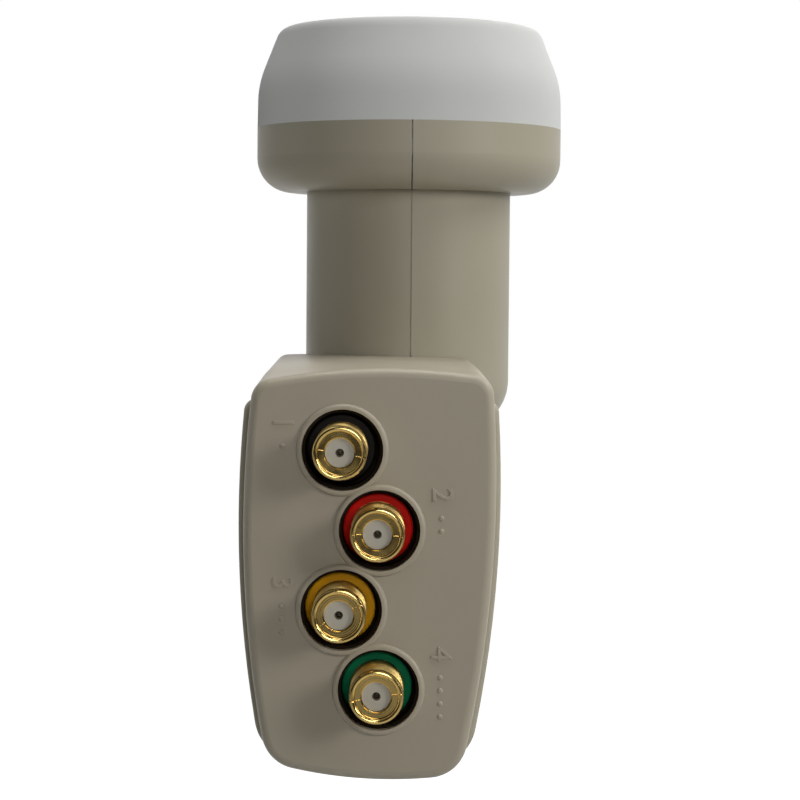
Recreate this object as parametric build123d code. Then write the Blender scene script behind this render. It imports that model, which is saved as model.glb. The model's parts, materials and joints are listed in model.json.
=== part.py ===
from build123d import *
import os
from math import sqrt
from typing import NamedTuple

# Sizes in mm. Z runs up the feed axis, the ports look along -Y, zero is half-way along the clamped neck.

# Housing halves
neck_radius = 20.0
clamp_length = 31.5
cup_radius = 29.8
cup_height = 12.4
cup_round = 6.5
shell_wall = 2.2
seam_gap = 0.2
seam_shift = 0.55
neck_tail = 15.2
neck_tail_round = 10.0
body_shift = -6.5
body_skew = -0.85
shoulder_drop = 7.35
shoulder_inset = 0.85
shoulder_crown = 0.3
shoulder_round = 2.2
belly_drop = 19.4
belly_inset = 5.85
body_height = 65.5
heel_inset = 4.75
heel_sag = 2.3
heel_lean = 1.2
heel_round = 8.0
rim_setback = 38.0
rim_round = 1.3
body_front = 16.0
front_draft = 1.5
front_round = 6.0
front_corner_round = 9.0

# Feed cap
cap_height = 19.55
cap_wall = 1.9
cap_knee = 8.6
cap_top_half = 25.3
cap_skirt_draft = 0.15
cap_knee_round = 18.0
cap_rim_round = 2.8

# Connector cover
cover_depth = 13.3
cover_wall = 2.0
cover_shift = 0.35
cover_ledge = 1.65
cover_round = 1.6
cover_heel_ledge = 2.0
cover_heel_rise = 0.5
cover_heel_sag = 1.9
cover_heel_lean = 2.0
cover_heel_round = 7.0
hood_drop = 3.35
hood_crown = 2.1
hood_lean = 1.2
hood_inset = 2.65
hood_round = 4.0
hood_ridge = 2.0
hood_ridge_rise = 0.25
hood_front = 12.0
hood_front_drop = 0.15
hood_front_inset = 1.8
hood_front_crown = 0.35
hood_front_round = 2.4
wall_draft = 1.0
tongue_length = 3.0
tongue_wall = 1.5

# Ports
port_pitch = 14.15
port_stagger = 6.65
port_shift = -1.9
port_drop = 13.125
well_radius = 7.2
well_lip_wall = 0.97
well_lip_height = 0.7
well_lip_round = 0.6
well_shift = 0.3
well_depth = 5.8
barrel_radius = 4.75
barrel_reach = 8.2
barrel_mouth = 4.0
barrel_chamfer = 0.45
mouth_depth = 1.5
relief_length = 0.7
relief_depth = 0.45
base_radius = 6.0
tail_radius = 3.6
insulator_radius = 2.55
pin_hole_radius = 0.75
contact_radius = 1.0
contact_tail_radius = 0.5
contact_length = 9.0
contact_setback = 0.9
ring_radius = 6.25
ring_height = 2.0
ring_round = 0.5
gasket_height = 1.0
gasket_margin = 0.5
sleeve_wall = 0.5
sleeve_setback = 0.9

# Casting, lid and board
guide_radius = 9.0
guide_wall = 2.5
guide_tail = 36.3
guide_end_wall = 3.0
centring_disc = 3.0
horn_base = 5.0
horn_rim_wall = 2.8
horn_rim_rise = 4.9
choke_count = 2
choke_wall = 1.5
choke_height = 10.0
seal_thickness = 1.8
seal_drop = 2.4
box_wall = 2.5
box_floor = 2.5
box_depth = 12.7
lid_thickness = 2.5
lid_seal_height = 0.8
board_thickness = 1.6
board_lift = 2.9
post_radius = 2.0
web_thickness = 3.0
probe_radius = 0.55
probe_boss = 4.0
bush_radius = 1.9
vertical_probe_drop = 18.3
horizontal_probe_drop = 30.3
isolation_pin_radius = 0.8
probe_end = 3.5
probe_hook = 5.5
screw_radius = 1.0
screw_length = 10.0
screw_head_radius = 2.3
screw_head_height = 1.6
screw_boss = 3.0
screw_margin = 3.0
heel_screw_margin = 4.5
drive_radius = 1.1
drive_depth = 1.1
puck_radius = 2.75
puck_height = 2.4
tuner_radius = 2.2
tuner_length = 6.0
tuner_slot = 0.6
shield_wall_thickness = 1.5

# Fits
sliding_gap = 0.05
part_gap = 0.2
seat_gap = 0.3
inner_gap = 0.5
least_round = 0.4

# Levels
cup_floor = clamp_length / 2
cup_rim = cup_floor + cup_height
hood_level = -clamp_length / 2
shoulder = hood_level - shoulder_drop
rim_y = -rim_setback
face_y = rim_y - cover_depth
gasket_y = face_y + well_depth
lid_y = gasket_y + gasket_height
lid_seal_y = lid_y + lid_thickness
box_rim_y = lid_seal_y + lid_seal_height
floor_y = box_rim_y + box_depth
board_y = floor_y - board_lift
board_rear_y = board_y - board_thickness
tip_y = face_y - barrel_reach
ring_top_y = gasket_y - ring_height
bore_radius = neck_radius - shell_wall
cup_bore = cup_radius - shell_wall
belly_half = cup_radius - belly_inset
shoulder_half = belly_half - shoulder_inset
heel_half = belly_half - heel_inset
hood_half = belly_half - hood_inset
hood_front_half = neck_radius - hood_front_inset
guide_outer = guide_radius + guide_wall
guide_end = hood_level - guide_tail


class Outline(NamedTuple):
    centre: float
    top: float
    crown: float
    half_top: float
    belly: float
    half_belly: float
    heel: float
    sag: float
    half_heel: float
    round_top: float
    round_heel: float
    skew: float
    top_lean: float = 0.0
    heel_lean: float = 0.0

    def inset(self, step):
        return self._replace(
            top=self.top - step,
            half_top=self.half_top - step,
            half_belly=self.half_belly - step,
            heel=self.heel + step,
            half_heel=self.half_heel - step,
            round_top=max(self.round_top - step, least_round),
            round_heel=max(self.round_heel - step, least_round),
        )

    def half_at(self, z):
        ax, az = self.half_top, self.top
        bx, bz = self.half_belly, self.belly
        cx, cz = self.half_heel, self.heel
        d = 2 * (ax * (bz - cz) + bx * (cz - az) + cx * (az - bz))
        a2, b2, c2 = ax**2 + az**2, bx**2 + bz**2, cx**2 + cz**2
        ux = (a2 * (bz - cz) + b2 * (cz - az) + c2 * (az - bz)) / d
        uz = (a2 * (cx - bx) + b2 * (ax - cx) + c2 * (bx - ax)) / d
        radius = sqrt((ax - ux) ** 2 + (az - uz) ** 2)
        return ux + sqrt(radius**2 - (z - uz) ** 2)

    def centre_at(self, z):
        return self.centre + self.skew * (self.top - z) / (self.top - self.heel)

    def sketch(self, y):
        belly_centre = self.centre_at(self.belly)
        heel_centre = self.centre + self.skew
        top_left = (self.centre - self.half_top, self.top - self.top_lean / 2)
        top_right = (self.centre + self.half_top, self.top + self.top_lean / 2)
        heel_right = (heel_centre + self.half_heel, self.heel - self.heel_lean / 2)
        heel_left = (heel_centre - self.half_heel, self.heel + self.heel_lean / 2)
        edges = Curve() + [
            ThreePointArc(top_left, (self.centre, self.top + self.crown), top_right),
            ThreePointArc(top_right, (belly_centre + self.half_belly, self.belly), heel_right),
            ThreePointArc(heel_right, (heel_centre, self.heel - self.sag), heel_left),
            ThreePointArc(heel_left, (belly_centre - self.half_belly, self.belly), top_left),
        ]
        flat = make_face(edges)
        flat = fillet(flat.vertices().sort_by(Axis.Y)[-2:], self.round_top)
        flat = fillet(flat.vertices().sort_by(Axis.Y)[:2], self.round_heel)
        return Plane.XZ.offset(-y) * flat

    def slab(self, y_front, y_rear):
        return extrude(self.sketch(y_front), amount=y_front - y_rear)


def upright(radius, z_low, z_high):
    return Pos(0, 0, z_low) * extrude(Circle(radius), amount=z_high - z_low)


def along_y(radius, x, z, y_front, y_rear):
    return extrude(Plane.XZ.offset(-y_front) * Pos(x, z) * Circle(radius), amount=y_front - y_rear)


def block(x_low, x_high, y_low, y_high, z_low, z_high):
    size = (x_high - x_low, y_high - y_low, z_high - z_low)
    return Pos(x_low, y_low, z_low) * Box(*size, align=(Align.MIN, Align.MIN, Align.MIN))


def between(first, second, share):
    return Outline(*[a + (b - a) * share for a, b in zip(first, second)])


shell_rim = Outline(
    centre=body_shift,
    top=shoulder,
    crown=shoulder_crown,
    half_top=shoulder_half,
    belly=shoulder - belly_drop,
    half_belly=belly_half,
    heel=shoulder - body_height,
    sag=heel_sag,
    half_heel=heel_half,
    round_top=shoulder_round,
    round_heel=heel_round,
    skew=body_skew,
    heel_lean=heel_lean,
)
shell_front = shell_rim.inset(front_draft)._replace(
    round_top=front_corner_round, round_heel=front_corner_round
)

face_outline = Outline(
    centre=body_shift + cover_shift,
    top=hood_level - hood_drop,
    crown=hood_crown,
    half_top=hood_half,
    belly=shell_rim.belly,
    half_belly=belly_half - cover_ledge,
    heel=shell_rim.heel + cover_heel_rise,
    sag=cover_heel_sag,
    half_heel=heel_half - cover_heel_ledge,
    round_top=hood_round,
    round_heel=cover_heel_round,
    skew=body_skew - cover_shift,
    top_lean=hood_lean,
    heel_lean=cover_heel_lean,
)
hood_outline = face_outline._replace(
    centre=body_shift,
    top=hood_level - hood_front_drop,
    crown=hood_front_crown,
    half_top=hood_front_half,
    half_belly=face_outline.half_belly + wall_draft,
    half_heel=face_outline.half_heel + wall_draft,
    round_top=hood_front_round,
    skew=body_skew,
    top_lean=0.0,
)
ridge_y = rim_y + hood_ridge
ridge_share = (face_y - ridge_y) / (face_y + hood_front)
ridge_outline = between(face_outline, hood_outline, ridge_share)
ridge_outline = ridge_outline._replace(top=ridge_outline.top + hood_ridge_rise)

inside_tongue = shell_rim.inset(shell_wall + part_gap + tongue_wall + inner_gap)
box_top = shoulder - shell_wall - inner_gap
box_outline = inside_tongue._replace(top=box_top, half_top=inside_tongue.half_at(box_top))
lid_share = (face_y - lid_seal_y) / (face_y + hood_front)
cover_at_lid = between(face_outline, hood_outline, lid_share)
lid_outline = face_outline.inset(cover_wall + inner_gap)._replace(
    half_top=cover_at_lid.half_top - cover_wall - inner_gap
)
board_outline = box_outline.inset(box_wall + inner_gap)

port_x = body_shift + port_shift
port_z = shoulder - body_height / 4 - port_drop
ports = {}
wells = {}
for order, colour in enumerate(("black", "red", "yellow", "green")):
    side = -1 if order % 2 == 0 else 1
    x = port_x + side * port_stagger / 2
    z = port_z + (1.5 - order) * port_pitch
    ports[colour] = (x, z)
    wells[colour] = (x + well_shift, z)

screw_rows = (
    box_outline.top - screw_boss - screw_margin,
    (box_outline.top + box_outline.heel) / 2,
    box_outline.heel + screw_boss + heel_screw_margin,
)
screw_spots = []
for row in screw_rows:
    reach = box_outline.half_at(row) - screw_boss
    screw_spots.append((box_outline.centre_at(row) - reach, row))
    screw_spots.append((box_outline.centre_at(row) + reach, row))

puck_rows = ((screw_rows[0] + screw_rows[1]) / 2, (screw_rows[1] + screw_rows[2]) / 2)
puck_reach = min(board_outline.half_at(row) for row in puck_rows) - puck_radius - inner_gap
puck_x = body_shift + body_skew + puck_reach
puck_spots = [(puck_x, row) for row in puck_rows]
vertical_z = hood_level - vertical_probe_drop
horizontal_z = hood_level - horizontal_probe_drop
isolation_z = (vertical_z + horizontal_z) / 2
probe_spots = [vertical_z, horizontal_z]


def cap_profile(step):
    skirt = cup_radius - step
    top = cup_rim + cap_height - step
    knee = (skirt - cap_skirt_draft, cup_rim + cap_knee)
    rim = (cap_top_half - step, top)
    flat = make_face(
        Polyline((0, cup_rim), (skirt, cup_rim), knee, rim, (0, top), close=True)
    )
    ordered = flat.vertices().sort_by_distance((knee[0], knee[1], 0))
    flat = fillet(ordered[:1], cap_knee_round - step)
    ordered = flat.vertices().sort_by_distance((rim[0], rim[1], 0))
    flat = fillet(ordered[:1], max(cap_rim_round - step, least_round))
    return revolve(Plane.XZ * flat, axis=Axis.Z)


def make_feed_cap():
    return cap_profile(0) - cap_profile(cap_wall)


def make_cap_seal():
    ring = Torus(cup_bore - seat_gap / 2 - seal_thickness / 2, seal_thickness / 2)
    return Pos(0, 0, cup_rim + seal_drop) * ring


def make_housing():
    neck_foot = hood_level - neck_tail
    neck = upright(neck_radius, neck_foot, cup_floor + shell_wall)
    neck = fillet(neck.edges().filter_by(GeomType.CIRCLE).sort_by(Axis.Z)[:1], neck_tail_round)
    cup = upright(cup_radius, cup_floor, cup_rim)
    cup = fillet(cup.edges().filter_by(GeomType.CIRCLE).sort_by(Axis.Z)[:1], cup_round)
    body = loft([shell_rim.sketch(rim_y), shell_front.sketch(body_front)])
    body = fillet(body.faces().sort_by(Axis.Y)[-1].edges(), front_round)
    body = fillet(body.faces().sort_by(Axis.Y)[0].edges(), rim_round)

    neck_bore = upright(bore_radius, neck_foot + shell_wall, cup_floor + 2 * shell_wall)
    neck_bore = fillet(
        neck_bore.edges().filter_by(GeomType.CIRCLE).sort_by(Axis.Z)[:1],
        neck_tail_round - shell_wall,
    )
    cup_hollow = upright(cup_bore, cup_floor + shell_wall, cup_rim + shell_wall)
    cup_hollow = fillet(
        cup_hollow.edges().filter_by(GeomType.CIRCLE).sort_by(Axis.Z)[:1],
        cup_round - shell_wall,
    )
    inner_rim = shell_rim.inset(shell_wall)
    inner_front = shell_front.inset(shell_wall)
    body_hollow = loft([inner_rim.sketch(rim_y), inner_front.sketch(body_front - shell_wall)])
    body_hollow = fillet(
        body_hollow.faces().sort_by(Axis.Y)[-1].edges(), front_round - shell_wall
    )
    outside = neck + cup + body
    return outside - neck_bore - cup_hollow - body_hollow


def make_connector_cover():
    outer = loft(
        [
            hood_outline.sketch(-hood_front),
            ridge_outline.sketch(ridge_y),
            face_outline.sketch(face_y),
        ],
        ruled=True,
    )
    outer = fillet(outer.faces().sort_by(Axis.Y)[0].edges(), cover_round)
    hollow = loft(
        [
            hood_outline.inset(cover_wall).sketch(-hood_front - cover_wall),
            face_outline.inset(cover_wall).sketch(face_y + cover_wall),
        ]
    )
    cover = outer - hollow

    housing_room = loft(
        [
            shell_rim.inset(-part_gap).sketch(rim_y),
            shell_front.inset(-part_gap).sketch(body_front),
        ]
    )
    cover -= housing_room
    far = 2 * body_height
    cover -= block(-far, far, rim_y, far, -far, shoulder - 2 * shoulder_round)
    cover -= upright(neck_radius + part_gap, -far, far)

    tongue_outline = shell_rim.inset(shell_wall + part_gap)
    tongue = tongue_outline.slab(rim_y + tongue_length, rim_y - cover_wall)
    tongue -= tongue_outline.inset(tongue_wall).slab(rim_y + tongue_length, rim_y - cover_wall)
    tongue &= block(-far, far, -far, far, -far, port_z + 1.5 * port_pitch)
    tongue &= face_outline.slab(rim_y + tongue_length, face_y)
    cover += tongue

    collar_radius = well_radius + well_lip_wall
    for x, z in wells.values():
        collar = along_y(collar_radius, x, z, gasket_y, face_y - well_lip_height)
        cover += fillet(collar.edges().filter_by(GeomType.CIRCLE).sort_by(Axis.Y)[:1], well_lip_round)
    for x, z in wells.values():
        cover -= along_y(well_radius, x, z, gasket_y, face_y - well_lip_height)
    return cover


def make_horn_casting():
    seat = cup_floor + shell_wall
    base_top = seat + horn_base
    rim_radius = cup_bore - seat_gap - part_gap
    base = upright(rim_radius, seat, cup_rim + horn_rim_rise)
    base = fillet(
        base.edges().filter_by(GeomType.CIRCLE).sort_by(Axis.Z)[:1], cup_round - shell_wall
    )
    base -= upright(rim_radius - horn_rim_wall, base_top, cup_rim + 2 * horn_rim_rise)
    choke_pitch = (rim_radius - horn_rim_wall - guide_outer) / (choke_count + 1)
    for ring in range(1, choke_count + 1):
        radius = guide_outer + ring * choke_pitch
        wall = upright(radius + choke_wall / 2, base_top, base_top + choke_height)
        base += wall - upright(radius - choke_wall / 2, base_top, base_top + choke_height)
    seal_level = cup_rim + seal_drop
    groove_floor = cup_bore - seat_gap / 2 - seal_thickness
    groove_half = seal_thickness / 2 + part_gap
    groove = upright(cup_radius, seal_level - groove_half, seal_level + groove_half)
    base -= groove - upright(groove_floor, seal_level - groove_half, seal_level + groove_half)

    tube = upright(guide_outer, guide_end - guide_end_wall, base_top + choke_height)
    disc_radius = bore_radius - seat_gap
    for level in (cup_floor - 2 * centring_disc, hood_level + centring_disc):
        tube += upright(disc_radius, level - centring_disc / 2, level + centring_disc / 2)

    floor_front_y = floor_y + box_floor
    box = box_outline.slab(floor_front_y, box_rim_y)
    box -= box_outline.inset(box_wall).slab(floor_y, box_rim_y)
    for x, z in screw_spots:
        box += along_y(screw_boss, x, z, floor_y, box_rim_y) & box_outline.slab(floor_y, box_rim_y)
    for x, z in puck_spots:
        box += along_y(post_radius, x, z, floor_y, board_y)
        box += along_y(post_radius, 2 * body_shift - x, z, floor_y, board_y)

    half_web = web_thickness / 2
    in_wall_y = -guide_radius - guide_wall / 2
    web = block(-half_web, half_web, floor_front_y, in_wall_y, guide_end, box_outline.top)
    casting = base + tube + box + web
    for z in probe_spots:
        casting += along_y(probe_boss, 0, z, in_wall_y, floor_y)

    casting -= upright(guide_radius, guide_end, base_top + 2 * choke_height)
    for z in probe_spots:
        casting -= along_y(bush_radius + sliding_gap, 0, z, 0, floor_y)
    casting -= along_y(isolation_pin_radius + sliding_gap, 0, isolation_z, guide_outer, -guide_outer)
    for x, z in screw_spots:
        casting -= along_y(screw_radius + sliding_gap, x, z, lid_y + screw_length + inner_gap, box_rim_y)
    return casting


def make_isolation_pin():
    return along_y(isolation_pin_radius, 0, isolation_z, guide_outer, -guide_outer + part_gap)


def make_vertical_probe():
    return along_y(probe_radius, 0, vertical_z, -probe_end, board_rear_y - inner_gap)


def make_horizontal_probe():
    shank = along_y(probe_radius, 0, horizontal_z, 0, board_rear_y - inner_gap)
    corner = Pos(0, 0, horizontal_z) * Sphere(probe_radius)
    hook = extrude(Plane.YZ * Pos(0, horizontal_z) * Circle(probe_radius), amount=probe_hook)
    return shank + corner + hook


def make_bush(z):
    bush = along_y(bush_radius, 0, z, -guide_radius - part_gap, floor_y)
    return bush - along_y(probe_radius + sliding_gap, 0, z, 0, floor_y)


def make_circuit_board():
    board = board_outline.slab(board_y, board_rear_y)
    for x, z in screw_spots:
        board -= along_y(screw_boss + inner_gap, x, z, board_y, board_rear_y)
    for x, z in ports.values():
        board -= along_y(contact_tail_radius + sliding_gap, x, z, board_y, board_rear_y)
    for z in probe_spots:
        board -= along_y(probe_radius + sliding_gap, 0, z, board_y, board_rear_y)
    return board


def make_resonators():
    pucks = Part()
    for x, z in puck_spots:
        pucks += along_y(puck_radius, x, z, board_rear_y, board_rear_y - puck_height)
    return pucks


def make_lid_seal():
    seal = box_outline.slab(box_rim_y, lid_seal_y)
    seal -= box_outline.inset(box_wall).slab(box_rim_y, lid_seal_y)
    for x, z in screw_spots:
        seal -= along_y(screw_radius + part_gap, x, z, box_rim_y, lid_seal_y)
    return seal


def make_rear_lid():
    lid = lid_outline.slab(lid_seal_y, lid_y)
    wall_x = (ports["red"][0] + puck_x) / 2
    half_wall = shield_wall_thickness / 2
    lid += block(
        wall_x - half_wall,
        wall_x + half_wall,
        lid_seal_y,
        board_rear_y - inner_gap,
        screw_rows[2],
        screw_rows[0],
    )
    for x, z in ports.values():
        lid -= along_y(tail_radius + sliding_gap, x, z, lid_seal_y, lid_y)
    for x, z in screw_spots:
        lid -= along_y(screw_radius + part_gap, x, z, lid_seal_y, lid_y)
    for x, z in puck_spots:
        lid -= along_y(tuner_radius + sliding_gap, x, z, lid_seal_y, lid_y)
    return lid


def make_tuning_screws():
    tuners = Part()
    for x, z in puck_spots:
        tuner = along_y(tuner_radius, x, z, lid_y + tuner_length, lid_y)
        tuner -= block(
            x - tuner_radius,
            x + tuner_radius,
            lid_y,
            lid_y + 2 * tuner_slot,
            z - tuner_slot / 2,
            z + tuner_slot / 2,
        )
        tuners += tuner
    return tuners


def make_lid_screws():
    screws = Part()
    for x, z in screw_spots:
        screw = along_y(screw_radius, x, z, lid_y + screw_length, lid_y)
        screw += along_y(screw_head_radius, x, z, lid_y, lid_y - screw_head_height)
        head_plane = Plane.XZ.offset(screw_head_height - lid_y)
        drive = head_plane * Pos(x, z) * RegularPolygon(drive_radius, 6)
        screws += screw - extrude(drive, amount=-drive_depth)
    return screws


def make_connector_gasket():
    collar_radius = well_radius + well_lip_wall + gasket_margin
    width = port_stagger + 2 * collar_radius
    height = 3 * port_pitch + 2 * collar_radius
    lid_plane = Plane.XZ.offset(-lid_y)
    sheet = lid_plane * Pos(port_x + well_shift, port_z) * RectangleRounded(width, height, well_radius)
    gasket = extrude(sheet, amount=gasket_height)
    for x, z in ports.values():
        gasket -= along_y(base_radius + part_gap, x, z, lid_y, gasket_y)
    for x, z in screw_spots:
        gasket -= along_y(screw_head_radius + part_gap, x, z, lid_y, gasket_y)
    sleeve_radius = well_radius - sliding_gap
    sleeve_y = face_y + sleeve_setback
    for x, z in wells.values():
        sleeve = along_y(sleeve_radius, x, z, gasket_y, sleeve_y)
        gasket += sleeve - along_y(sleeve_radius - sleeve_wall, x, z, gasket_y, sleeve_y)
    return gasket


def make_ring(x, z):
    ring = along_y(ring_radius, x, z, gasket_y, ring_top_y)
    ring = fillet(ring.edges().filter_by(GeomType.CIRCLE).sort_by(Axis.Y)[:1], ring_round)
    return ring - along_y(barrel_radius + sliding_gap, x, z, gasket_y, ring_top_y)


def make_connector(x, z):
    body = along_y(tail_radius, x, z, lid_seal_y, lid_y)
    body += along_y(base_radius, x, z, lid_y, gasket_y)
    barrel = along_y(barrel_radius, x, z, gasket_y, tip_y)
    barrel = chamfer(barrel.edges().filter_by(GeomType.CIRCLE).sort_by(Axis.Y)[:1], barrel_chamfer)
    relief_y = ring_top_y - relief_length
    relief = along_y(barrel_radius, x, z, ring_top_y, relief_y)
    barrel -= relief - along_y(barrel_radius - relief_depth, x, z, ring_top_y, relief_y)
    body += barrel
    bore = insulator_radius + sliding_gap
    body -= along_y(bore, x, z, lid_seal_y, tip_y)
    mouth = Plane.XZ.offset(-tip_y - mouth_depth) * Pos(x, z) * Circle(bore)
    lip = Plane.XZ.offset(-tip_y) * Pos(x, z) * Circle(barrel_mouth)
    return body - loft([mouth, lip])


def make_insulator(x, z):
    end_y = tip_y + mouth_depth
    contact_end_y = end_y + contact_setback
    insulator = along_y(insulator_radius, x, z, lid_seal_y, end_y)
    insulator -= along_y(pin_hole_radius, x, z, lid_seal_y, end_y)
    return insulator - along_y(contact_radius + sliding_gap, x, z, lid_seal_y, contact_end_y)


def make_contact(x, z):
    contact_end_y = tip_y + mouth_depth + contact_setback
    contact_foot_y = contact_end_y + contact_length
    contact = along_y(contact_radius, x, z, contact_foot_y, contact_end_y)
    contact -= along_y(contact_tail_radius, x, z, contact_foot_y - contact_radius, contact_end_y)
    return contact + along_y(contact_tail_radius, x, z, board_y + inner_gap, contact_foot_y)


housing = make_housing()
far_side = 3 * cup_radius
left_room = block(-far_side, seam_shift - seam_gap / 2, -far_side, far_side, -2 * far_side, far_side)
right_room = block(seam_shift + seam_gap / 2, far_side, -far_side, far_side, -2 * far_side, far_side)
nodes = {
    "feed_cap": make_feed_cap(),
    "cap_seal": make_cap_seal(),
    "left_shell": housing & left_room,
    "right_shell": housing & right_room,
    "connector_cover": make_connector_cover(),
    "horn_casting": make_horn_casting(),
    "isolation_pin": make_isolation_pin(),
    "vertical_probe": make_vertical_probe(),
    "horizontal_probe": make_horizontal_probe(),
    "vertical_probe_bush": make_bush(vertical_z),
    "horizontal_probe_bush": make_bush(horizontal_z),
    "circuit_board": make_circuit_board(),
    "resonators": make_resonators(),
    "lid_seal": make_lid_seal(),
    "rear_lid": make_rear_lid(),
    "tuning_screws": make_tuning_screws(),
    "lid_screws": make_lid_screws(),
    "connector_gasket": make_connector_gasket(),
}
for colour, (x, z) in ports.items():
    nodes[f"ring_{colour}"] = make_ring(x, z)
    nodes[f"connector_{colour}"] = make_connector(x, z)
    nodes[f"insulator_{colour}"] = make_insulator(x, z)
    nodes[f"contact_{colour}"] = make_contact(x, z)

os.makedirs("parts", exist_ok=True)
for name, solid in nodes.items():
    export_step(solid, f"parts/{name}.step")
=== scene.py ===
import bpy
import bmesh
import json
import math
from mathutils import Matrix, Vector


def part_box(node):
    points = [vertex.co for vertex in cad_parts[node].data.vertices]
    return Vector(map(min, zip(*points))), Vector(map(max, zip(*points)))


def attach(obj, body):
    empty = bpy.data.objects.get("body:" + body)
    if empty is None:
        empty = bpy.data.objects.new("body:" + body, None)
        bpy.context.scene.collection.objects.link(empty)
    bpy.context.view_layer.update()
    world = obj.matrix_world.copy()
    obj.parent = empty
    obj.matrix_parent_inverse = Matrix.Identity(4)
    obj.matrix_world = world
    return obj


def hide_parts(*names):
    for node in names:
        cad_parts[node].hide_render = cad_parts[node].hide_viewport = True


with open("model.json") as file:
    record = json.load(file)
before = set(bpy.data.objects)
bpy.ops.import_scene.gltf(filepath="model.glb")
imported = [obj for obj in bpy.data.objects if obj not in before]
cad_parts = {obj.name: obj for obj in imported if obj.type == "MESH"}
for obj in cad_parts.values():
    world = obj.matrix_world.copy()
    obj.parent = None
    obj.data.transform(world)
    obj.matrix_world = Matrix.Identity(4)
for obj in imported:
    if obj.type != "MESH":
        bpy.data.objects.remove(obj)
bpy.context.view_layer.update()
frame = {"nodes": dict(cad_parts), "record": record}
nodes = frame["nodes"]
slotByNode = {sub["node"]: sub["material_slot"] for sub in frame["record"]["subparts"]}
portColours = ("black", "red", "yellow", "green")
scene = bpy.context.scene
scene.view_settings.view_transform = "Standard"
print("frame in:", len(nodes), "nodes")


def srgb(red, green, blue):
    out = []
    for part in (red, green, blue):
        v = part / 255
        out.append(v / 12.92 if v <= 0.04045 else ((v + 0.055) / 1.055) ** 2.4)
    return (*out, 1.0)


def mm(*values):
    return Vector([v * 0.001 for v in values])


# camera: a 100 mm class lens, slightly tipped down and a touch rolled
cameraSet = {
    "place": (-0.00136, -0.45516, -0.00167),
    "lens": 103.5,
    "sensor": 36,
    "clipStart": 0.01,
    "tipDown": 2.946,
    "roll": 0.467,
}


def makeCamera(spec):
    tip = math.radians(spec["tipDown"])
    roll = math.radians(spec["roll"])
    forward = Vector((0, math.cos(tip), -math.sin(tip)))
    up = Vector((0, math.sin(tip), math.cos(tip)))
    right = Vector((1, 0, 0))
    side = right * math.cos(roll) + up * math.sin(roll)
    top = up * math.cos(roll) - right * math.sin(roll)
    data = bpy.data.cameras.new("photoCamera")
    data.lens = spec["lens"]
    data.sensor_width = spec["sensor"]
    data.clip_start = spec["clipStart"]
    cam = bpy.data.objects.new("photoCamera", data)
    scene.collection.objects.link(cam)
    turn = Matrix((side, top, -forward)).transposed().to_4x4()
    cam.matrix_world = Matrix.Translation(spec["place"]) @ turn
    scene.camera = cam


makeCamera(cameraSet)
print("camera set")


# soft studio: a small lamp beside the camera, a key from the right, big lamps to the right and above
lampAim = (0, 0, -0.02)
lampSet = {
    "front": {"place": (0.10, -0.86, 0.14), "size": 0.25, "watts": 1.25},
    "key": {"place": (0.66, -0.50, 0.22), "size": 0.26, "watts": 2.0},
    "side": {"place": (0.65, -0.05, 0.55), "size": 0.50, "watts": 3.0},
    "top": {"place": (0.05, -0.06, 0.85), "size": 0.50, "watts": 3.8},
    "back": {"place": (-0.28, 0.86, 0.02), "size": 0.50, "watts": 2.4, "glints": False},
    "fill": {"place": (-0.85, 0.0, 0.10), "size": 0.50, "watts": 0.55},
}


def makeLamp(name, spec):
    data = bpy.data.lights.new(name, "AREA")
    data.shape = "DISK"
    data.size = spec["size"]
    data.energy = spec["watts"]
    lamp = bpy.data.objects.new(name, data)
    scene.collection.objects.link(lamp)
    lamp.location = spec["place"]
    lamp.visible_glossy = spec.get("glints", True)
    way = Vector(lampAim) - Vector(spec["place"])
    lamp.rotation_euler = way.to_track_quat("-Z", "Y").to_euler()


for lampName, lampSpec in lampSet.items():
    makeLamp(lampName, lampSpec)


def mathNode(tree, way, first, second):
    node = tree.nodes.new("ShaderNodeMath")
    node.operation = way
    tree.links.new(first, node.inputs[0])
    tree.links.new(second, node.inputs[1])
    return node.outputs[0]


def fadeNode(tree, value, span, levels, curve="LINEAR"):
    node = tree.nodes.new("ShaderNodeMapRange")
    node.interpolation_type = curve
    node.inputs["From Min"].default_value, node.inputs["From Max"].default_value = span
    node.inputs["To Min"].default_value, node.inputs["To Max"].default_value = levels
    tree.links.new(value, node.inputs["Value"])
    return node.outputs[0]


# white sweep: the camera sees plain white, shiny things see it dim in front and white behind
roomSet = {"front": 0.0, "back": 0.04, "shineFront": 0.04, "shineBack": 1.0, "soften": 0.6}


def makeRoom(spec):
    world = bpy.data.worlds.new("whiteSweep")
    scene.world = world
    world.use_nodes = True
    tree = world.node_tree
    tree.nodes.clear()
    link = tree.links.new
    out = tree.nodes.new("ShaderNodeOutputWorld")
    path = tree.nodes.new("ShaderNodeLightPath").outputs
    coord = tree.nodes.new("ShaderNodeTexCoord")
    split = tree.nodes.new("ShaderNodeSeparateXYZ")
    link(coord.outputs["Generated"], split.inputs[0])

    def sweep(front, back):
        span = (-spec["soften"], spec["soften"])
        return fadeNode(tree, split.outputs["Y"], span, (front, back), "SMOOTHSTEP")

    def glow(strength):
        background = tree.nodes.new("ShaderNodeBackground")
        background.inputs["Color"].default_value = (1, 1, 1, 1)
        link(strength, background.inputs["Strength"])
        return background.outputs[0]

    mirrored = mathNode(tree, "MAXIMUM", path["Is Glossy Ray"], path["Is Transmission Ray"])
    seen = mathNode(tree, "MAXIMUM", path["Is Camera Ray"], mirrored)
    shine = sweep(spec["shineFront"], spec["shineBack"])
    mix = tree.nodes.new("ShaderNodeMixShader")
    link(seen, mix.inputs["Fac"])
    link(glow(sweep(spec["front"], spec["back"])), mix.inputs[1])
    link(glow(mathNode(tree, "MAXIMUM", path["Is Camera Ray"], shine)), mix.inputs[2])
    link(mix.outputs[0], out.inputs["Surface"])


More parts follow.
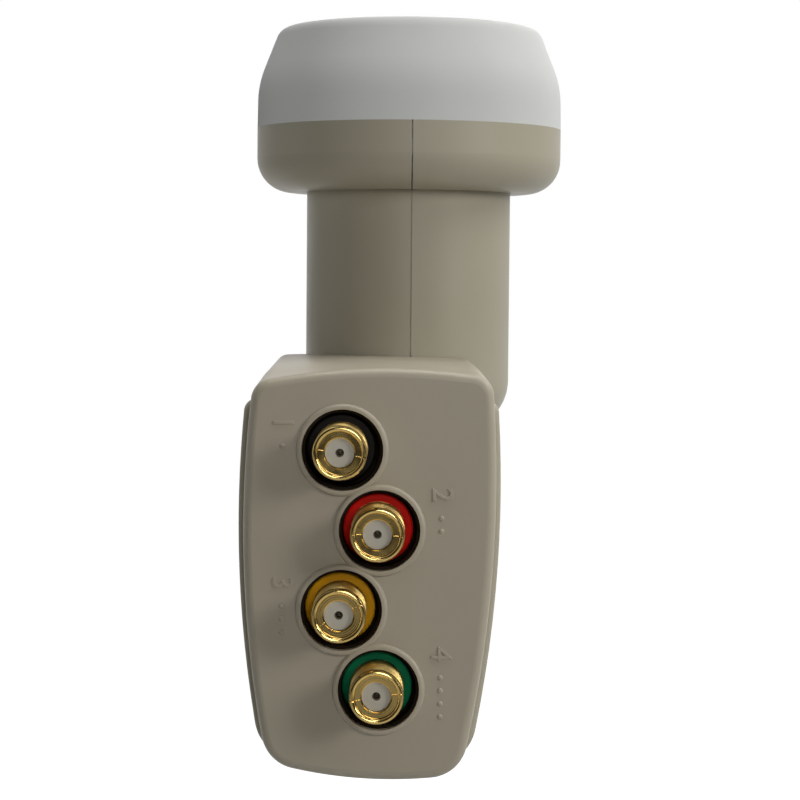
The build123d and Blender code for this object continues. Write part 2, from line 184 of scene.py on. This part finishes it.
makeRoom(roomSet)


# floor: grey card that goes over to white away from the object
floorSet = {
    "level": -0.30,
    "half": 5.0,
    "front": -2.0,
    "card": (0.45, 0.45, 0.45, 1),
    "near": 0.3,
    "far": 0.85,
    "nearGlow": 0.5,
    "farGlow": 1.0,
    "shineFront": 0.22,
    "shineBack": 1.0,
    "soften": 0.6,
}


def makeFloor(spec):
    bm = bmesh.new()
    bmesh.ops.create_grid(bm, x_segments=1, y_segments=1, size=spec["half"])
    bmesh.ops.translate(bm, verts=bm.verts, vec=(0, 0, spec["level"]))
    nearSide = [v for v in bm.verts if v.co.y < 0]
    bmesh.ops.translate(bm, verts=nearSide, vec=(0, spec["front"] + spec["half"], 0))
    mesh = bpy.data.meshes.new("floor")
    bm.to_mesh(mesh)
    bm.free()
    floor = bpy.data.objects.new("floor", mesh)
    scene.collection.objects.link(floor)
    mat = bpy.data.materials.new("paleFloor")
    mat.use_nodes = True
    tree = mat.node_tree
    tree.nodes.clear()
    link = tree.links.new
    out = tree.nodes.new("ShaderNodeOutputMaterial")
    card = tree.nodes.new("ShaderNodeBsdfDiffuse")
    glow = tree.nodes.new("ShaderNodeEmission")
    both = tree.nodes.new("ShaderNodeAddShader")
    path = tree.nodes.new("ShaderNodeLightPath").outputs
    coord = tree.nodes.new("ShaderNodeTexCoord")
    split = tree.nodes.new("ShaderNodeSeparateXYZ")
    reach = tree.nodes.new("ShaderNodeVectorMath")
    reach.operation = "LENGTH"
    card.inputs["Color"].default_value = spec["card"]
    link(coord.outputs["Object"], reach.inputs[0])
    link(coord.outputs["Object"], split.inputs[0])
    glowLevels = (spec["nearGlow"], spec["farGlow"])
    spread = fadeNode(tree, reach.outputs["Value"], (spec["near"], spec["far"]), glowLevels)
    shineLevels = (spec["shineFront"], spec["shineBack"])
    shine = fadeNode(tree, split.outputs["Y"], (-spec["soften"], spec["soften"]), shineLevels)
    mirrored = mathNode(tree, "MAXIMUM", path["Is Glossy Ray"], path["Is Transmission Ray"])
    mirrored = mathNode(tree, "MULTIPLY", mirrored, shine)
    seen = mathNode(tree, "MAXIMUM", path["Is Camera Ray"], mirrored)
    link(mathNode(tree, "MULTIPLY", spread, seen), glow.inputs["Strength"])
    link(card.outputs[0], both.inputs[0])
    link(glow.outputs[0], both.inputs[1])
    link(both.outputs[0], out.inputs["Surface"])
    mesh.materials.append(mat)


makeFloor(floorSet)
print("studio set")


# finishes
plasticSet = {
    "capPlastic": {"light": srgb(229, 230, 227), "dark": srgb(221, 222, 219), "rough": (0.66, 0.76),
                   "grain": 0.05, "chalk": 1.0, "sheen": 0.2},
    "shellPlastic": {"light": srgb(177, 171, 151), "dark": srgb(170, 163, 143), "rough": (0.38, 0.48),
                     "grain": 0.05, "sheen": 0.22},
    "coverPlastic": {"light": srgb(179, 171, 152), "dark": srgb(172, 163, 145), "rough": (0.36, 0.46),
                     "grain": 0.05, "sheen": 0.35},
    "ringBlack": {"light": srgb(26, 21, 15), "dark": srgb(19, 15, 10), "rough": (0.34, 0.46),
                  "grain": 0.06, "sheen": 0.12},
    "ringRed": {"light": srgb(255, 34, 20), "dark": srgb(242, 26, 14), "rough": (0.34, 0.46),
                "grain": 0.06, "sheen": 0.08},
    "ringYellow": {"light": srgb(255, 188, 30), "dark": srgb(244, 170, 20), "rough": (0.34, 0.46),
                   "grain": 0.06, "sheen": 0.08},
    "ringGreen": {"light": srgb(16, 138, 90), "dark": srgb(10, 122, 78), "rough": (0.34, 0.46),
                  "grain": 0.06, "sheen": 0.08},
    "whiteInsulator": {"light": srgb(205, 200, 184), "dark": srgb(194, 188, 171), "rough": (0.40, 0.52),
                       "grain": 0.04},
    # the rubber finish goes on the dark sleeves and gasket in the wells; their darkness is partly painted
    # shade, standing for the shade deep in the wells as well as for rubber
    "rubber": {"light": srgb(38, 29, 19), "dark": srgb(28, 21, 13), "rough": (0.66, 0.82),
               "grain": 0.12, "sheen": 0.1},
    "boardMask": {"light": srgb(34, 98, 52), "dark": srgb(22, 76, 40), "rough": (0.30, 0.44), "grain": 0.05},
    "puckCeramic": {"light": srgb(204, 192, 168), "dark": srgb(186, 172, 146), "rough": (0.34, 0.50),
                    "grain": 0.08},
}
metalSet = {
    "goldPlate": {"light": srgb(228, 198, 126), "dark": srgb(204, 173, 103), "rough": (0.09, 0.18),
                  "grain": 0.03, "cloud": 300},
    "turnedBrass": {"light": srgb(226, 196, 126), "dark": srgb(196, 160, 90), "rough": (0.22, 0.38),
                    "grain": 0.10, "cloud": 240},
    "castAlloy": {"light": srgb(206, 206, 208), "dark": srgb(176, 177, 180), "rough": (0.36, 0.55),
                  "grain": 0.35, "cloud": 180},
    # the centre contacts and their spring leaves get a darkened metal: painted shade for the shadow down in
    # the pin holes
    "contactShadedMetal": {"light": srgb(104, 96, 80), "dark": srgb(82, 74, 60), "rough": (0.40, 0.55),
                      "grain": 0.10, "cloud": 300},
    "zincSteel": {"light": srgb(200, 200, 202), "dark": srgb(170, 171, 174), "rough": (0.24, 0.40),
                  "grain": 0.12, "cloud": 240},
}
# a faint cloud varies tone and gloss, a fine speck gives the grain
grainSet = {
    "cloud": 55,
    "cloudDetail": 4,
    "speck": 1400,
    "speckDetail": 3,
    "glossSpan": (0.35, 0.65),
    "depth": 0.0002,
}


def mouldedPlastic(name, spec):
    mat = bpy.data.materials.new(name)
    mat.use_nodes = True
    tree = mat.node_tree
    link = tree.links.new
    shader = tree.nodes["Principled BSDF"]
    coord = tree.nodes.new("ShaderNodeTexCoord")
    cloud = tree.nodes.new("ShaderNodeTexNoise")
    cloud.inputs["Scale"].default_value = spec.get("cloud", grainSet["cloud"])
    cloud.inputs["Detail"].default_value = grainSet["cloudDetail"]
    speck = tree.nodes.new("ShaderNodeTexNoise")
    speck.inputs["Scale"].default_value = grainSet["speck"]
    speck.inputs["Detail"].default_value = grainSet["speckDetail"]
    for noise in (cloud, speck):
        link(coord.outputs["Object"], noise.inputs["Vector"])
    tone = tree.nodes.new("ShaderNodeMix")
    tone.data_type = "RGBA"
    tone.inputs["A"].default_value = spec["dark"]
    tone.inputs["B"].default_value = spec["light"]
    link(cloud.outputs["Fac"], tone.inputs["Factor"])
    link(tone.outputs["Result"], shader.inputs["Base Color"])
    gloss = fadeNode(tree, cloud.outputs["Fac"], grainSet["glossSpan"], spec["rough"])
    link(gloss, shader.inputs["Roughness"])
    bump = tree.nodes.new("ShaderNodeBump")
    bump.name = "grain"
    bump.inputs["Strength"].default_value = spec["grain"]
    bump.inputs["Distance"].default_value = grainSet["depth"]
    link(speck.outputs["Fac"], bump.inputs["Height"])
    link(bump.outputs[0], shader.inputs["Normal"])
    shader.inputs["Specular IOR Level"].default_value = spec.get("sheen", 0.5)
    shader.inputs["Diffuse Roughness"].default_value = spec.get("chalk", 0.0)
    return mat


def platedMetal(name, spec):
    mat = mouldedPlastic(name, spec)
    mat.node_tree.nodes["Principled BSDF"].inputs["Metallic"].default_value = 1.0
    return mat


# lathe marks round a barrel's own axis, laid over the plating; the thread is duller than the mouth
turnSet = {
    "fineness": 3000,
    "detail": 2,
    "strength": {"black": 0.10, "red": 0.08, "yellow": 0.55, "green": 0.42},
    "depth": 0.00006,
    "mouth": 0.0009,
    "thread": 0.0016,
    "dull": 0.34,
}


def turnedGold(colour, x, tip, z, spec):
    mat = platedMetal("goldPlate_" + colour, metalSet["goldPlate"])
    tree = mat.node_tree
    link = tree.links.new
    shader = tree.nodes["Principled BSDF"]
    polish = shader.inputs["Roughness"].links[0].from_socket
    coord = tree.nodes.new("ShaderNodeTexCoord")
    centre = tree.nodes.new("ShaderNodeMapping")
    centre.inputs["Location"].default_value = (-x, -tip, -z)
    link(coord.outputs["Object"], centre.inputs["Vector"])
    flat = tree.nodes.new("ShaderNodeVectorMath")
    flat.operation = "MULTIPLY"
    flat.inputs[1].default_value = (1, 0, 1)
    link(centre.outputs[0], flat.inputs[0])
    reach = tree.nodes.new("ShaderNodeVectorMath")
    reach.operation = "LENGTH"
    link(flat.outputs[0], reach.inputs[0])
    marks = tree.nodes.new("ShaderNodeTexNoise")
    marks.noise_dimensions = "1D"
    marks.inputs["Scale"].default_value = spec["fineness"]
    marks.inputs["Detail"].default_value = spec["detail"]
    link(reach.outputs["Value"], marks.inputs["W"])
    groove = tree.nodes.new("ShaderNodeBump")
    groove.inputs["Strength"].default_value = spec["strength"][colour]
    groove.inputs["Distance"].default_value = spec["depth"]
    link(marks.outputs["Fac"], groove.inputs["Height"])
    link(tree.nodes["grain"].outputs[0], groove.inputs["Normal"])
    link(groove.outputs[0], shader.inputs["Normal"])
    split = tree.nodes.new("ShaderNodeSeparateXYZ")
    link(centre.outputs[0], split.inputs[0])
    behind = fadeNode(tree, split.outputs["Y"], (spec["mouth"], spec["thread"]), (0, 1))
    dull = tree.nodes.new("ShaderNodeMix")
    dull.inputs["B"].default_value = spec["dull"]
    link(behind, dull.inputs["Factor"])
    link(polish, dull.inputs["A"])
    link(dull.outputs["Result"], shader.inputs["Roughness"])
    return mat


finishes = {name: mouldedPlastic(name, spec) for name, spec in plasticSet.items()}
finishes.update({name: platedMetal(name, spec) for name, spec in metalSet.items()})

finishBySlot = {
    "cap_plastic": "capPlastic",
    "shell_plastic": "shellPlastic",
    "cover_plastic": "coverPlastic",
    "rubber": "rubber",
    "cast_alloy": "castAlloy",
    "brass": "turnedBrass",
    "gold_plate": "goldPlate",
    "steel": "zincSteel",
    "white_plastic": "whiteInsulator",
    "board": "boardMask",
    "puck_ceramic": "puckCeramic",
    "ring_black": "ringBlack",
    "ring_red": "ringRed",
    "ring_yellow": "ringYellow",
    "ring_green": "ringGreen",
}
for nodeName, slotName in slotByNode.items():
    # contacts take the darkened metal in place of their slot's finish: painted shade for the pin holes
    finishName = "contactShadedMetal" if nodeName.startswith("contact_") else finishBySlot[slotName]
    materials = nodes[nodeName].data.materials
    materials.clear()
    materials.append(finishes[finishName])
print("finishes on", len(nodes), "nodes")


# points closer than this in metres are welded, edges sharper than this in degrees stay crisp
pieceSet = {"weld": 1e-7, "crisp": 32}


def keepPiece(bm, name, paint):
    bmesh.ops.remove_doubles(bm, verts=bm.verts, dist=pieceSet["weld"])
    bmesh.ops.recalc_face_normals(bm, faces=bm.faces)
    mesh = bpy.data.meshes.new(name)
    bm.to_mesh(mesh)
    bm.free()
    mesh.shade_smooth()
    mesh.set_sharp_from_angle(angle=math.radians(pieceSet["crisp"]))
    mesh.materials.append(paint)
    piece = bpy.data.objects.new(name, mesh)
    scene.collection.objects.link(piece)
    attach(piece, "root")
    return piece


def addBlock(bm, size, middle):
    made = bmesh.ops.create_cube(bm, size=1)["verts"]
    bmesh.ops.scale(bm, vec=size, verts=made)
    bmesh.ops.translate(bm, vec=middle, verts=made)


# threaded barrels: radii and depths behind the tip, in mm
barrelSet = {
    "steps": 96,
    "bore": 2.6,
    "tail": 3.6,
    "base": 6.0,
    "root": 4.50,
    "crest": 4.76,
    "nose": [(4.76, 1.70), (4.77, 0.95), (4.77, 0.62), (4.72, 0.32),
             (4.58, 0.10), (4.36, 0.0), (4.14, 0.02)],
    "noseLap": 0.3,
    "mouth": [(3.96, 0.12), (3.83, 0.30), (3.77, 0.50), (3.75, 0.90),
              (2.80, 0.92), (2.70, 0.84), (2.60, 0.88)],
    "marks": {"black": -8, "red": -2, "yellow": 28, "green": 8},
    "markDepth": 0.4,
    "markFrom": 2.8,
    "markTo": 4.6,
    "markBack": 1.3,
    "pitch": 0.794,
    "perTurn": 48,
    "threadFrom": 11.6,
    "threadTo": 2.2,
    "toothFoot": 0.36,
    "toothTop": 0.14,
    "toothSink": 0.05,
}


def portCentre(colour):
    low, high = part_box("connector_" + colour)
    return (low.x + high.x) * 500, (low.z + high.z) * 500


def drawLoop(bm, outline, x, z):
    ring = [bm.verts.new(mm(x + r, y, z)) for r, y in outline]
    edges = [bm.edges.new((ring[i - 1], ring[i])) for i in range(len(ring))]
    return ring, edges


def spinProfile(bm, outline, x, z, spec):
    ring, edges = drawLoop(bm, outline, x, z)
    bmesh.ops.spin(bm, geom=ring + edges, cent=mm(x, 0, z), axis=(0, 1, 0), angle=math.tau,
                   steps=spec["steps"], use_merge=True, use_duplicate=False)
    bmesh.ops.recalc_face_normals(bm, faces=bm.faces)


def cutMarks(bm, x, z, tip, turn, spec):
    # fine slits across the rim and mouth on two opposite sides
    halfStep = math.pi / spec["steps"]
    marked = []
    for face in bm.faces:
        c = face.calc_center_median() * 1000
        angle = math.atan2(c.z - z, c.x - x) - math.radians(turn)
        off = abs((angle + math.pi / 2) % math.pi - math.pi / 2)
        out = math.hypot(c.x - x, c.z - z)
        if off < halfStep and c.y < tip + spec["markBack"] and spec["markFrom"] < out < spec["markTo"]:
            marked.append(face)
    grown = bmesh.ops.extrude_face_region(bm, geom=marked)
    bmesh.ops.delete(bm, geom=marked, context="FACES")
    sunk = [v for v in grown["geom"] if isinstance(v, bmesh.types.BMVert)]
    bmesh.ops.translate(bm, verts=sunk, vec=mm(0, spec["markDepth"], 0))


def sweepThread(bm, x, z, tip, spec):
    pitch = spec["pitch"]
    start = tip + spec["threadFrom"]
    steps = int((spec["threadFrom"] - spec["threadTo"]) / pitch * spec["perTurn"])
    foot, crest = spec["root"] - spec["toothSink"], spec["crest"]
    wide, narrow = spec["toothFoot"], spec["toothTop"]
    tooth = [(foot, start - wide), (crest, start - narrow), (crest, start + narrow), (foot, start + wide)]
    ring, edges = drawLoop(bm, tooth, x, z)
    bm.faces.new(ring)
    swept = bmesh.ops.spin(bm, geom=ring + edges, cent=mm(x, 0, z), axis=(0, 1, 0),
                           dvec=mm(0, -pitch / spec["perTurn"], 0),
                           angle=math.tau / spec["perTurn"] * steps,
                           steps=steps, use_merge=False, use_duplicate=False)
    bmesh.ops.contextual_create(bm, geom=swept["geom_last"])


def barrelPiece(colour, spec):
    x, z = portCentre(colour)
    low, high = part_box("connector_" + colour)
    tip, foot = low.y * 1000, high.y * 1000
    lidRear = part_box("rear_lid")[0].y * 1000
    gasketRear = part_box("ring_" + colour)[1].y * 1000
    noseBack = tip + spec["nose"][0][1] + spec["noseLap"]
    outline = [(spec["bore"], foot), (spec["tail"], foot), (spec["tail"], lidRear)]
    outline += [(spec["base"], lidRear), (spec["base"], gasketRear)]
    outline += [(spec["root"], gasketRear), (spec["root"], noseBack)]
    outline += [(r, tip + depth) for r, depth in spec["nose"] + spec["mouth"]]
    bm = bmesh.new()
    spinProfile(bm, outline, x, z, spec)
    cutMarks(bm, x, z, tip, spec["marks"][colour], spec)
    sweepThread(bm, x, z, tip, spec)
    paint = turnedGold(colour, x * 0.001, tip * 0.001, z * 0.001, turnSet)
    piece = keepPiece(bm, "port_barrel_" + colour, paint)
    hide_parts("connector_" + colour)
    return piece


for colour in portColours:
    barrelPiece(colour, barrelSet)
print("port barrels cut")


# two spring leaves in each centre contact, set back from its mouth, in mm
leafSet = {"wide": 0.60, "thick": 0.27, "long": 1.6, "slit": 0.10, "back": 0.25, "round": 0.06}


def leafPiece(colour, spec):
    x, z = portCentre(colour)
    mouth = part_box("contact_" + colour)[0].y * 1000
    size = mm(spec["wide"], spec["long"], spec["thick"])
    bm = bmesh.new()
    for up in (-1, 1):
        level = z + up * (spec["thick"] + spec["slit"]) / 2
        addBlock(bm, size, mm(x, mouth + spec["back"] + spec["long"] / 2, level))
    bmesh.ops.bevel(bm, geom=bm.edges[:], offset=spec["round"] * 0.001, segments=2, profile=0.5,
                    affect="EDGES")
    # the leaves share the darkened contact metal: painted shade in the pin hole
    paint = finishes["contactShadedMetal"]
    return keepPiece(bm, "contact_leaves_" + colour, paint)


for colour in portColours:
    leafPiece(colour, leafSet)
print("contact leaves set")


# a thin bead closes the seam along the neck, front and back, a little under the surface, in mm
beadSet = {"wide": 0.16, "deep": 1.0, "radius": 19.86, "foot": -15.4, "top": 15.5}


def beadPiece(spec):
    seam = (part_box("left_shell")[1].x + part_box("right_shell")[0].x) * 500
    size = mm(spec["wide"], spec["deep"], spec["top"] - spec["foot"])
    bm = bmesh.new()
    for side in (-1, 1):
        depth = side * (spec["radius"] - spec["deep"] / 2)
        addBlock(bm, size, mm(seam, depth, (spec["top"] + spec["foot"]) / 2))
    return keepPiece(bm, "neck_bead", finishes["shellPlastic"])


beadPiece(beadSet)
print("seam bead set")


# raised port numbers with counting dots, moulded into the cover face, reading downwards, in mm;
# the lips of the wells stand proud of that face
numberSet = {
    "lipHeight": 0.7,
    "fontSize": 5.18,
    "relief": 0.22,
    "bevel": 0.03,
    "dot": 0.5,
    "dotFlat": (1, 0.5, 1),
    "dotGap": 4.2,
    "dotStep": 2.3,
    "aside": {"left": -10.3, "right": 11.2},
    "rise": {"left": 4.8, "right": 6.4},
    "text": {"black": "1", "red": "2", "yellow": "3", "green": "4"},
}


def numberPiece(colour, spec):
    text = spec["text"][colour]
    side = "left" if int(text) % 2 else "right"
    x, z = portCentre(colour)
    x += spec["aside"][side]
    z += spec["rise"][side]
    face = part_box("connector_cover")[0].y * 1000 + spec["lipHeight"]
    curve = bpy.data.curves.new("number", "FONT")
    curve.body = text
    curve.size = spec["fontSize"] * 0.001
    curve.align_x = "CENTER"
    curve.align_y = "CENTER"
    curve.extrude = spec["relief"] * 0.001
    curve.bevel_depth = spec["bevel"] * 0.001
    holder = bpy.data.objects.new("number", curve)
    scene.collection.objects.link(holder)
    bpy.context.view_layer.update()
    flat = bpy.data.meshes.new_from_object(holder.evaluated_get(bpy.context.evaluated_depsgraph_get()))
    bpy.data.objects.remove(holder)
    bm = bmesh.new()
    bm.from_mesh(flat)
    turn = Matrix(((0, 1, 0), (0, 0, -1), (-1, 0, 0))).to_4x4()
    bmesh.ops.transform(bm, matrix=Matrix.Translation(mm(x, face, z)) @ turn, verts=bm.verts)
    for i in range(int(text)):
        made = bmesh.ops.create_uvsphere(bm, u_segments=16, v_segments=8, radius=spec["dot"] * 0.001)
        bmesh.ops.scale(bm, vec=spec["dotFlat"], verts=made["verts"])
        level = z - spec["dotGap"] - i * spec["dotStep"]
        bmesh.ops.translate(bm, vec=mm(x, face, level), verts=made["verts"])
    return keepPiece(bm, "port_number_" + text, finishes["coverPlastic"])


for colour in portColours:
    numberPiece(colour, numberSet)
print("port numbers raised")
